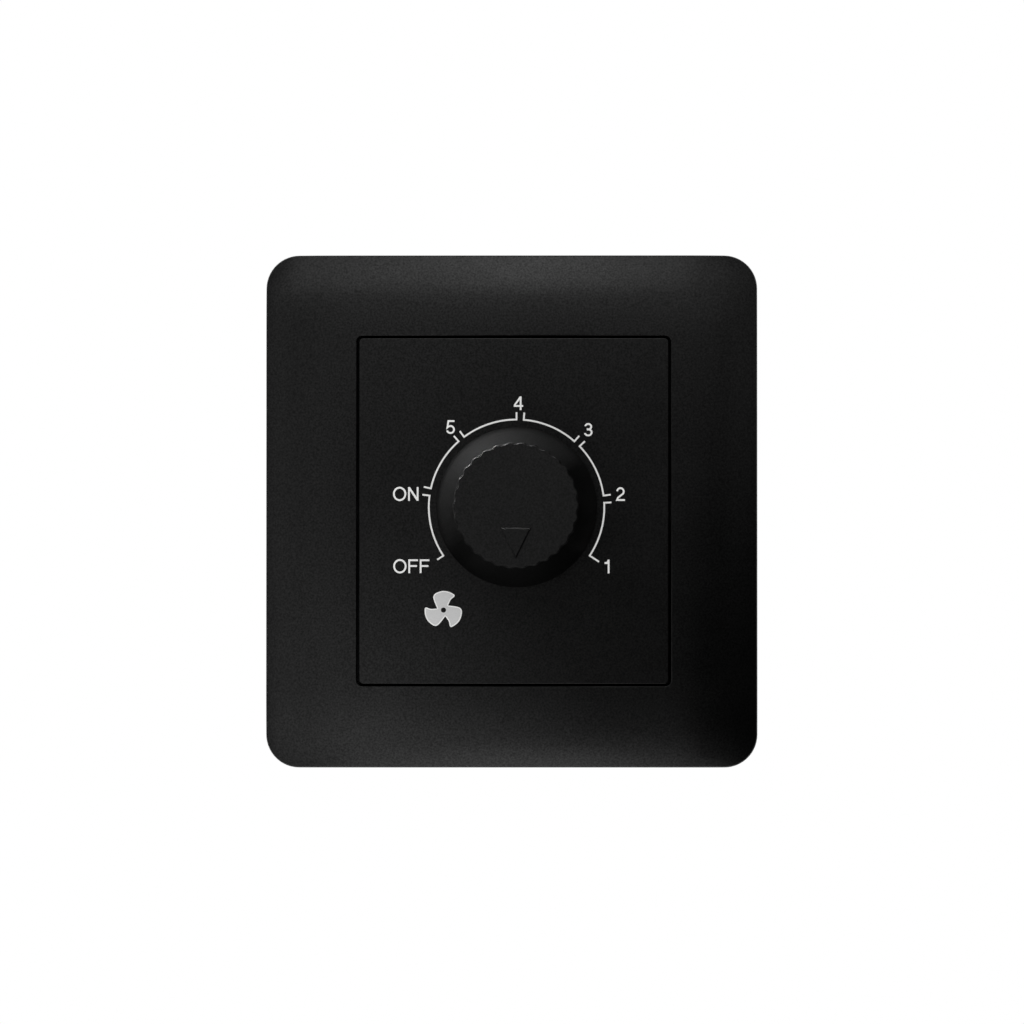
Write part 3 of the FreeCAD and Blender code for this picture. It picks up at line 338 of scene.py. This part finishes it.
def vary(tree, value, low, high, target):
    """Leads a noise value, spread between two limits, into a number socket."""
    tree.links.new(remap(tree, value, NOISE_RANGE, (low, high)), target)


def tint(tree, value, dark, light, target):
    """Leads a noise value into a colour socket, between two colours."""
    ramp = tree.nodes.new("ShaderNodeValToRGB")
    for element, position, colour in zip(ramp.color_ramp.elements, NOISE_RANGE, (dark, light)):
        element.position = position
        element.color = (*colour, 1.0)
    tree.links.new(value, ramp.inputs["Fac"])
    tree.links.new(ramp.outputs["Color"], target)


def rough_skin(tree, value, height, target):
    """Bump of a real height in metres."""
    tree.links.new(wired(tree, "Bump", {"Height": value, "Distance": height})["Normal"], target)


def shade(colour, factor):
    """A colour made darker or lighter by a factor."""
    return tuple(channel * factor for channel in colour)


def moulded(name, colour, roughness, grain, height, specular=0.5, spread=0.12):
    """Moulded plastic: its eroded skin speckles colour and shine, and its gloss varies in broad patches."""
    material, tree, shader = shader_of(name)
    skin = noise(tree, grain)
    cloud = noise(tree, CLOUD_SIZE * grain)
    tint(tree, skin, shade(colour, 1 - spread), shade(colour, 1 + spread), shader.inputs["Base Color"])
    vary(tree, cloud, roughness - CLOUD_ROUGHNESS, roughness + CLOUD_ROUGHNESS, shader.inputs["Roughness"])
    vary(tree, skin, specular * (1 - spread), specular * (1 + spread), shader.inputs["Specular IOR Level"])
    rough_skin(tree, skin, height, shader.inputs["Normal"])
    return material


def turned_matt(name, colour, roughness, grain, height, specular, spread):
    """Moulded plastic whose sides keep the duller, coarser skin of the mould's turned wall."""
    material = moulded(name, colour, roughness, grain, height, specular, spread)
    tree = material.node_tree
    normal = wired(tree, "NewGeometry", {})["True Normal"]
    facing = wired(tree, "SeparateXYZ", {"Vector": normal})["Y"]
    for label, (operation, *limits) in SIDE_SKIN.items():
        socket = tree.nodes["Principled BSDF"].inputs[label]
        share = remap(tree, facing, SIDE_TILT, limits)
        changed = wired(tree, "Math", {0: socket.links[0].from_socket, 1: share}, operation)["Value"]
        tree.links.new(changed, socket)
    return material


def metal(name, colour, roughness, grain, height, stretch=EVEN):
    """Bare or plated metal, with its grain drawn out along an axis by a stretch."""
    material, tree, shader = shader_of(name)
    grains = noise(tree, grain, GRAIN_DETAIL, stretch)
    stain = noise(tree, STAIN_SIZE * grain)
    tint(tree, stain, shade(colour, STAIN_SHADE), colour, shader.inputs["Base Color"])
    vary(tree, grains, roughness - GRAIN_ROUGHNESS, roughness + GRAIN_ROUGHNESS, shader.inputs["Roughness"])
    rough_skin(tree, grains, height, shader.inputs["Normal"])
    shader.inputs["Metallic"].default_value = 1.0
    return material


def printed(name, colour):
    """Pad-printed ink that lets a little of the skin below show in its grain."""
    return moulded(
        name, colour, roughness=0.55, grain=0.25 * MM, height=0.004 * MM, specular=0.3, spread=0.04)


def wound_copper(name):
    """Enamelled wire laid round a toroid: ridges counted by the angle about the choke's middle, darker
    between the turns as painted shade.
    """
    material, tree, shader = shader_of(name)
    low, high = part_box("choke_core")
    spot = wired(tree, "TexCoord", {})["Object"]
    about = wired(tree, "VectorMath", {0: spot, 1: (low + high) / 2}, "SUBTRACT")["Vector"]
    parts = wired(tree, "SeparateXYZ", {"Vector": about})
    angle = wired(tree, "Math", {0: parts["X"], 1: parts["Z"]}, "ARCTAN2")["Value"]
    turns = wired(tree, "Math", {0: angle, 1: CHOKE_TURNS}, "MULTIPLY")["Value"]
    ridge = wired(tree, "Math", {0: turns}, "SINE")["Value"]
    # Painted shade: the colour darkens in the grooves between the turns and is the wire's own on their
    # crowns
    tint(tree, ridge, *WIRE_COLOUR_AND_PAINTED_SHADE, shader.inputs["Base Color"])
    vary(tree, noise(tree, WIRE_GRAIN), *WIRE_ROUGHNESS, shader.inputs["Roughness"])
    rough_skin(tree, ridge, WIRE_HEIGHT, shader.inputs["Normal"])
    shader.inputs["Metallic"].default_value = WIRE_METALLIC
    return material


def towards(azimuth, elevation):
    """Direction seen from the object: azimuth 0 is straight in front, 90 to the right."""
    across, upward = math.radians(azimuth), math.radians(elevation)
    level = math.cos(upward)
    return Vector((math.sin(across) * level, -math.cos(across) * level, math.sin(upward)))


def place(name, data, azimuth, elevation, distance):
    """Puts a camera or lamp at a distance in metres, looking at the middle of the plate."""
    thing = bpy.data.objects.new(name, data)
    away = towards(azimuth, elevation)
    thing.location = away * distance
    thing.rotation_euler = (-away).to_track_quat("-Z", "Y").to_euler()
    bpy.context.scene.collection.objects.link(thing)
    return thing


def area_lamp(name, size, power, azimuth, elevation, distance):
    """Rectangular lamp that the camera doesn't see."""
    data = bpy.data.lights.new(name, "AREA")
    data.shape = "RECTANGLE"
    data.size, data.size_y = size
    data.energy = power
    lamp = place(name, data, azimuth, elevation, distance)
    lamp.visible_camera = False
    return lamp


def floor():
    """White table below the switch, out of the picture."""
    bpy.ops.mesh.primitive_circle_add(
        vertices=FLOOR_SIDES, radius=FLOOR_RADIUS, fill_type="NGON", location=(0, 0, -FLOOR_DROP))
    table = bpy.context.object
    table.name = "floor"
    paper = moulded("floor_paper", (0.85, 0.85, 0.85), 0.7, 1.5 * MM, 0.01 * MM, specular=0.2, spread=0.02)
    table.data.materials.append(paper)


def surroundings():
    """White behind the object, even light on it, and a dark room on the camera's side in its reflections."""
    world = bpy.data.worlds.new("surroundings")
    bpy.context.scene.world = world
    world.use_nodes = True
    world.cycles.sampling_method = "NONE"
    tree = world.node_tree
    ray = wired(tree, "LightPath", {})
    seen = wired(tree, "Math", {0: ray["Is Camera Ray"], 1: ray["Is Transmission Ray"]}, "MAXIMUM")["Value"]
    direction = wired(tree, "TexCoord", {})["Generated"]
    depth = wired(tree, "SeparateXYZ", {"Vector": direction})["Y"]
    room = remap(tree, depth, ROOM_EDGE, (ROOM_LEVEL, BACKDROP))
    lit = wired(tree, "Mix", {"Factor": ray["Is Glossy Ray"], "A": AMBIENT, "B": room})["Result"]
    level = wired(tree, "Mix", {"Factor": seen, "A": lit, "B": BACKDROP})["Result"]
    background = tree.nodes["Background"]
    background.inputs["Color"].default_value = (1.0, 1.0, 1.0, 1.0)
    tree.links.new(level, background.inputs["Strength"])


# Finishes: colour, roughness, grain size and height, then a plastic's shine and speckle or a metal's stretch
FINISHES = {
    "surround_frame": moulded("surround_skin", BLACK, 0.35, 0.33 * MM, 0.01 * MM, 0.5, 0.33),
    "front_cover": moulded("cover_skin", BLACK, 0.35, 0.33 * MM, 0.01 * MM, 0.5, 0.33),
    "control_knob": turned_matt("knob_skin", BLACK, 0.55, 0.33 * MM, 0.008 * MM, 0.5, 0.25),
    "rear_housing": moulded("housing_skin", (0.02, 0.02, 0.021), 0.4, 0.4 * MM, 0.012 * MM, 0.4),
    "terminal_block": moulded("terminal_skin", (0.42, 0.42, 0.4), 0.42, 0.4 * MM, 0.008 * MM),
    # The support plate's near-black colour is painted shade for the groove between cover and surround, where
    # the sheet shows through
    "support_plate": metal("sheet_painted_groove_shade", (0.045, 0.045, 0.047), 0.4, 0.5 * MM, 0.006 * MM, SHEET_GRAIN),
    "pot_bushing": metal("zinc_casting", (0.56, 0.56, 0.54), 0.42, 0.5 * MM, 0.012 * MM),
    "control_shaft": metal("turned_shaft", (0.7, 0.7, 0.71), 0.26, 0.2 * MM, 0.004 * MM, SHAFT_GRAIN),
    "knob_spring": metal("spring_band", (0.4, 0.4, 0.4), 0.3, 0.3 * MM, 0.003 * MM),
    "pot_wiper": metal("bronze_wiper", (0.6, 0.44, 0.24), 0.3, 0.3 * MM, 0.003 * MM),
    "pot_wafer": moulded("track_board", (0.2, 0.09, 0.035), 0.5, 0.3 * MM, 0.006 * MM),
    "switch_case": moulded("switch_phenolic", (0.05, 0.022, 0.012), 0.35, 0.4 * MM, 0.006 * MM),
    "pot_rotor": moulded("rotor_nylon", (0.62, 0.6, 0.54), 0.45, 0.5 * MM, 0.006 * MM),
    "terminal_clamps": metal("brass_cage", (0.62, 0.46, 0.22), 0.3, 0.3 * MM, 0.004 * MM),
    "circuit_board": moulded("board_laminate", (0.36, 0.22, 0.08), 0.42, 0.35 * MM, 0.006 * MM),
    "choke_core": moulded("ferrite", (0.03, 0.03, 0.032), 0.55, 0.2 * MM, 0.01 * MM),
    "choke_winding": wound_copper("wound_copper"),
    "filter_capacitor": moulded("filter_box", (0.6, 0.42, 0.05), 0.3, 0.6 * MM, 0.006 * MM),
    "timing_capacitor": moulded("timing_box", (0.3, 0.03, 0.02), 0.28, 0.6 * MM, 0.006 * MM),
    "board_fuse": moulded("fuse_can", (0.12, 0.05, 0.02), 0.35, 0.5 * MM, 0.006 * MM),
    "diac": moulded("diac_glass", (0.05, 0.12, 0.35), 0.2, 0.4 * MM, 0.003 * MM),
    "insulating_pad": moulded("silicone_pad", (0.4, 0.4, 0.42), 0.6, 0.3 * MM, 0.006 * MM),
    "triac_leadframe": metal("tinned_lead", (0.66, 0.65, 0.62), 0.34, 0.3 * MM, 0.004 * MM),
    "triac_body": moulded("epoxy", (0.02, 0.02, 0.02), 0.5, 0.3 * MM, 0.01 * MM),
}
SHARED = {
    metal("plated_steel", STEEL, 0.3, 0.25 * MM, 0.004 * MM): (
        "housing_screws", "pot_washer", "pot_nut", "pot_shell", "shaft_clip", "triac_screw",
        "terminal_screws"),
    metal("tinned_pin", (0.64, 0.6, 0.5), 0.32, 0.25 * MM, 0.003 * MM): (
        "pot_pins", "switch_pins"),
    moulded("resistor_coat", (0.55, 0.4, 0.22), 0.3, 0.3 * MM, 0.006 * MM): (
        "resistor_lower", "resistor_upper"),
}
for material, names in SHARED.items():
    FINISHES.update({name: material for name in names})
for name, material in FINISHES.items():
    nodes[name].data.materials.clear()
    nodes[name].data.materials.append(material)

# Print on the cover
white_ink = printed("white_ink", (0.74, 0.74, 0.73))
grey_ink = printed("grey_ink", (0.5, 0.5, 0.5))
first_ticks = [END_TICK_LENGTH] + [TICK_LENGTH] * (len(DIAL_BRACKETS) - 1)
ink("dial_ring", [bracket(*ends, tick) for ends, tick in zip(DIAL_BRACKETS, first_ticks)], white_ink)
for text, middle in MARKS.items():
    ink(f"mark_{text}", word(text, middle), white_ink)
hub_hole = ellipse(*SIGN_PLACE, HUB_RADIUS, HUB_RADIUS)
ink("fan_rim", [fan_outline(0), hub_hole], white_ink)
ink("fan_fill", [fan_outline(SIGN_RIM), hub_hole], grey_ink, INK_THICKNESS)

# Stage, light and camera
floor()
surroundings()
for name, (azimuth, elevation, *size, power) in PANELS.items():
    area_lamp(name, size, power, azimuth, elevation, PANEL_DISTANCE)
beam = area_lamp("beam", BEAM_SIZE, BEAM_POWER, BEAM_AZIMUTH, BEAM_ELEVATION, BEAM_DISTANCE)
beam.data.spread = math.radians(BEAM_SPREAD)
beam.location += BEAM_MIDDLE
lens = bpy.data.cameras.new("camera")
lens.sensor_width = SENSOR
lens.lens = SENSOR * CAMERA_DISTANCE / (VIEW_WIDTH * MM)
bpy.context.scene.camera = place("camera", lens, CAMERA_AZIMUTH, CAMERA_ELEVATION, CAMERA_DISTANCE)
bpy.context.scene.view_settings.view_transform = "Standard"
